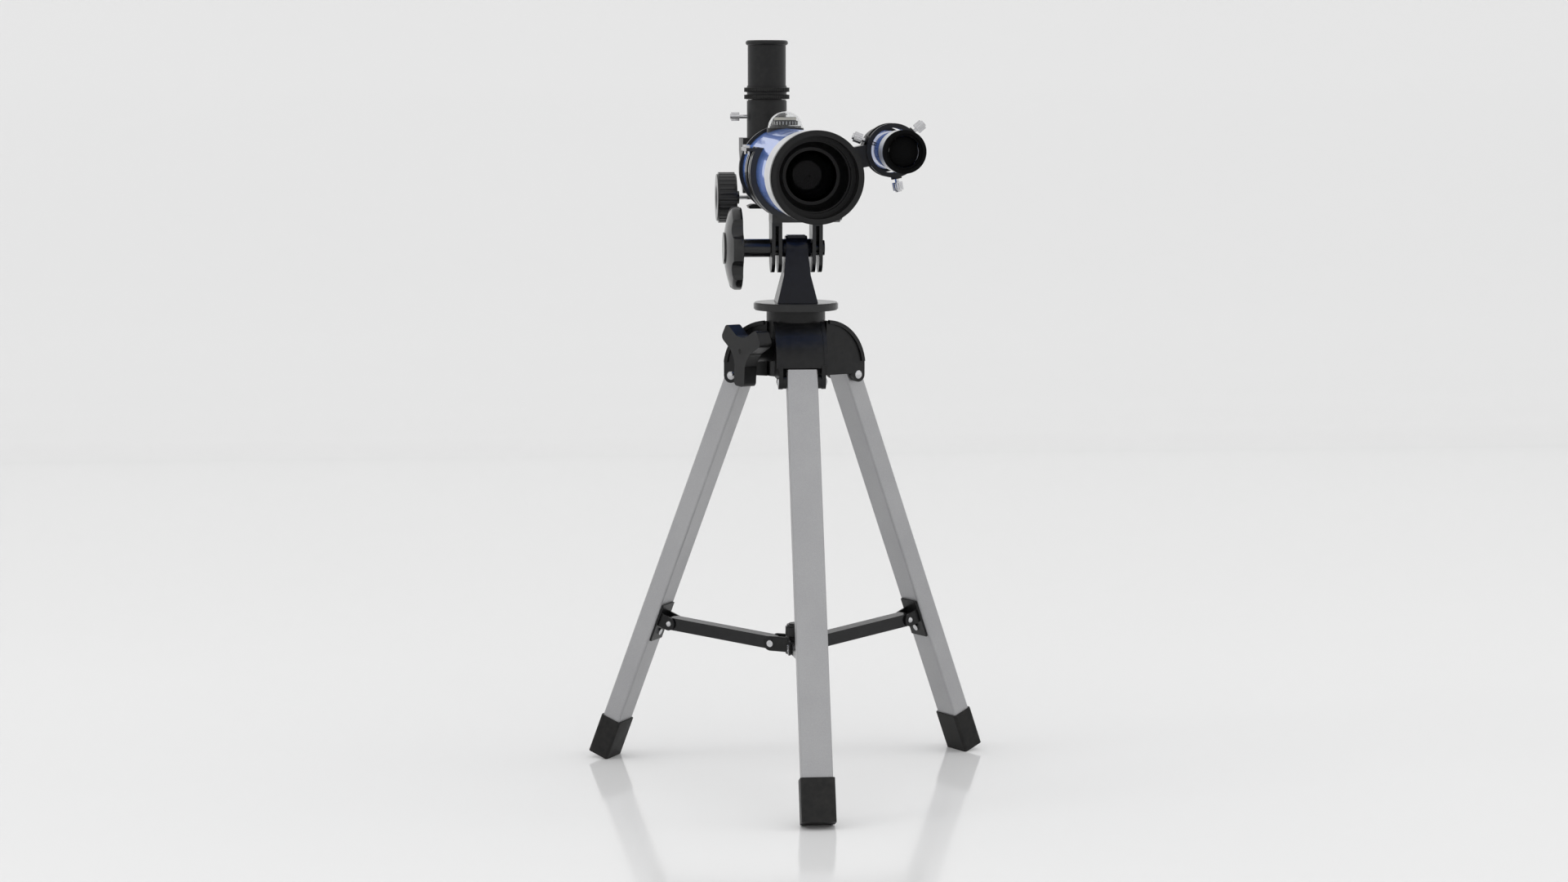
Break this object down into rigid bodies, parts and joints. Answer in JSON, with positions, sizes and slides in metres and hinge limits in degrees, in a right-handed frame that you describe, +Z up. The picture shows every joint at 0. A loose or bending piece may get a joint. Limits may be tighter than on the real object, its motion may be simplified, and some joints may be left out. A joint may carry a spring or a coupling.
{
  "type": "tabletop refractor telescope",
  "caption": "Small blue refractor with a star diagonal, finder and dome compass on a tilting yoke mount and a folding tabletop tripod with spreader braces.",
  "frame": {"origin": "on the floor, on the turntable's vertical axis", "axes": "+Z up; the objective lens looks along -Y, above the front leg; the tilt axis runs along X with its knob at -X and the finder at +X"},
  "size_m": [0.303, 0.4308, 0.548],
  "materials": {
    "matte_black": "satin moulded",
    "gloss_black": "glossy moulded",
    "rubber_black": "matt",
    "leg_aluminium": "satin anodised",
    "bright_steel": "polished plated",
    "drawtube_chrome": "bright plated",
    "blue_enamel": "gloss enamel",
    "satin_silver": "satin paint",
    "black_enamel": "gloss enamel",
    "clear_lens": "polished",
    "clear_dome": "clear acrylic"
  },
  "bodies": {
    "tripod_base": {"tripod_head": "matte_black", "leg_pivot_rivets": "bright_steel", "azimuth_bolt": "bright_steel"},
    "leg_1": {"leg_1_tube": "leg_aluminium", "leg_1_foot": "rubber_black", "leg_1_bracket": "matte_black", "leg_1_rivets": "bright_steel"},
    "leg_2": {"leg_2_tube": "leg_aluminium", "leg_2_foot": "rubber_black", "leg_2_bracket": "matte_black", "leg_2_rivets": "bright_steel"},
    "leg_3": {"leg_3_tube": "leg_aluminium", "leg_3_foot": "rubber_black", "leg_3_bracket": "matte_black", "leg_3_rivets": "bright_steel"},
    "brace_1": {"brace_1": "black_enamel"},
    "brace_2": {"brace_2": "black_enamel"},
    "brace_3": {"brace_3": "black_enamel"},
    "spreader": {"spreader_hub": "matte_black", "hub_rivets": "bright_steel", "hub_knob": "matte_black"},
    "azimuth_lock": {"azimuth_lock_knob": "matte_black", "azimuth_lock_stud": "bright_steel"},
    "turntable_unit": {"turntable": "gloss_black", "pedestal": "matte_black"},
    "tilt_lock": {"tilt_bolt": "black_enamel", "tilt_knob": "gloss_black"},
    "telescope": {"left_arm": "black_enamel", "right_arm": "black_enamel", "cradle": "gloss_black", "cradle_screws": "bright_steel", "main_tube": "blue_enamel", "dew_shield": "satin_silver", "front_rim": "gloss_black", "lens_cell": "matte_black", "objective_lens": "clear_lens", "tube_end_ring": "matte_black", "focuser_body": "black_enamel", "pinion_cover": "matte_black", "finder_bracket": "matte_black", "finder_tube": "blue_enamel", "finder_sleeve": "satin_silver", "finder_objective": "matte_black", "finder_eyepiece": "matte_black", "compass_base": "matte_black", "compass_dome": "clear_dome"},
    "focus_pinion": {"pinion_shaft": "bright_steel", "focus_knobs": "gloss_black"},
    "focus_tube": {"drawtube": "drawtube_chrome", "focus_rack": "bright_steel"},
    "diagonal": {"diagonal_housing": "matte_black", "diagonal_prism": "clear_lens", "eyepiece_holder": "matte_black"},
    "eyepiece": {"eyepiece_body": "matte_black", "eyepiece_lens": "clear_lens"},
    "eyepiece_lock": {"eyepiece_lock_screw": "bright_steel"},
    "compass_dial": {"compass_card": "matte_black"},
    "finder_screw_1_body": {"finder_screw_1": "bright_steel"},
    "finder_screw_2_body": {"finder_screw_2": "bright_steel"},
    "finder_screw_3_body": {"finder_screw_3": "bright_steel"}
  },
  "joints": [
    {"name": "leg_1_fold", "type": "hinge", "parent": "tripod_base", "child": "leg_1", "pos_m": [0, -0.045, 0.299], "axis": [1, 0, 0], "range_deg": [0, 8]},
    {"name": "leg_2_fold", "type": "hinge", "parent": "tripod_base", "child": "leg_2", "pos_m": [0.03897, 0.0225, 0.299], "axis": [-0.5, 0.866, 0], "range_deg": [0, 8]},
    {"name": "leg_3_fold", "type": "hinge", "parent": "tripod_base", "child": "leg_3", "pos_m": [-0.03897, 0.0225, 0.299], "axis": [-0.5, -0.866, 0], "range_deg": [0, 8]},
    {"name": "brace_1_swing", "type": "hinge", "parent": "leg_1", "child": "brace_1", "pos_m": [0, -0.10242, 0.10795], "axis": [-1, 0, 0], "range_deg": [0, 52]},
    {"name": "brace_2_swing", "type": "hinge", "parent": "leg_2", "child": "brace_2", "pos_m": [0.0887, 0.05121, 0.10795], "axis": [0.5, -0.866, 0], "range_deg": [0, 52]},
    {"name": "brace_3_swing", "type": "hinge", "parent": "leg_3", "child": "brace_3", "pos_m": [-0.0887, 0.05121, 0.10795], "axis": [0.5, 0.866, 0], "range_deg": [0, 52]},
    {"name": "spreader_drop", "type": "slide", "parent": "tripod_base", "child": "spreader", "axis": [0, 0, -1], "range_m": [0, 0.0632]},
    {"name": "azimuth_lock_turn", "type": "hinge", "parent": "tripod_base", "child": "azimuth_lock", "pos_m": [-0.03897, -0.0225, 0.3195], "axis": [-0.866, -0.5, 0], "range_deg": [0, 360]},
    {"name": "turntable_turn", "type": "hinge", "parent": "tripod_base", "child": "turntable_unit", "pos_m": [0, 0, 0.3535], "axis": [0, 0, 1], "continuous": true},
    {"name": "tilt_lock_turn", "type": "hinge", "parent": "turntable_unit", "child": "tilt_lock", "pos_m": [-0.045, 0, 0.393], "axis": [-1, 0, 0], "range_deg": [0, 360]},
    {"name": "tilt", "type": "hinge", "parent": "turntable_unit", "child": "telescope", "pos_m": [0, 0, 0.393], "axis": [-1, 0, 0], "range_deg": [-20, 60]},
    {"name": "focus_turn", "type": "hinge", "parent": "telescope", "child": "focus_pinion", "pos_m": [0, 0.135, 0.4255], "axis": [1, 0, 0], "range_deg": [-358.1, 286.48]},
    {"name": "focus_slide", "type": "slide", "parent": "telescope", "child": "focus_tube", "axis": [0, 1, 0], "range_m": [-0.02, 0.025]},
    {"name": "diagonal_turn", "type": "hinge", "parent": "focus_tube", "child": "diagonal", "pos_m": [0, 0.218, 0.448], "axis": [0, 1, 0], "range_deg": [-90, 90]},
    {"name": "eyepiece_lift", "type": "slide", "parent": "diagonal", "child": "eyepiece", "axis": [0, 0, 1], "range_m": [0, 0.024]},
    {"name": "eyepiece_lock_turn", "type": "hinge", "parent": "diagonal", "child": "eyepiece_lock", "pos_m": [-0.02, 0.241, 0.487], "axis": [-1, 0, 0], "range_deg": [0, 360]},
    {"name": "compass_card_turn", "type": "hinge", "parent": "telescope", "child": "compass_dial", "pos_m": [0, 0.082, 0.483], "axis": [0, 0, 1], "continuous": true},
    {"name": "finder_screw_1_turn", "type": "hinge", "parent": "telescope", "child": "finder_screw_1_body", "pos_m": [0.09185, 0.036, 0.47744], "axis": [0.766, 0, 0.6428], "range_deg": [0, 360]},
    {"name": "finder_screw_2_turn", "type": "hinge", "parent": "telescope", "child": "finder_screw_2_body", "pos_m": [0.05433, 0.036, 0.47082], "axis": [-0.9397, 0, 0.342], "range_deg": [0, 360]},
    {"name": "finder_screw_3_turn", "type": "hinge", "parent": "telescope", "child": "finder_screw_3_body", "pos_m": [0.07882, 0.036, 0.44163], "axis": [0.1736, 0, -0.9848], "range_deg": [0, 360]}
  ],
  "couplings": [
    {"joint": "leg_2_fold", "follows": "leg_1_fold", "ratio": 1},
    {"joint": "leg_3_fold", "follows": "leg_1_fold", "ratio": 1},
    {"joint": "brace_1_swing", "follows": "leg_1_fold", "ratio": 6.5},
    {"joint": "brace_2_swing", "follows": "leg_1_fold", "ratio": 6.5},
    {"joint": "brace_3_swing", "follows": "leg_1_fold", "ratio": 6.5},
    {"joint": "spreader_drop", "follows": "leg_1_fold", "m_per_rad": 0.45264},
    {"joint": "focus_turn", "follows": "focus_slide", "rad_per_m": -250}
  ]
}
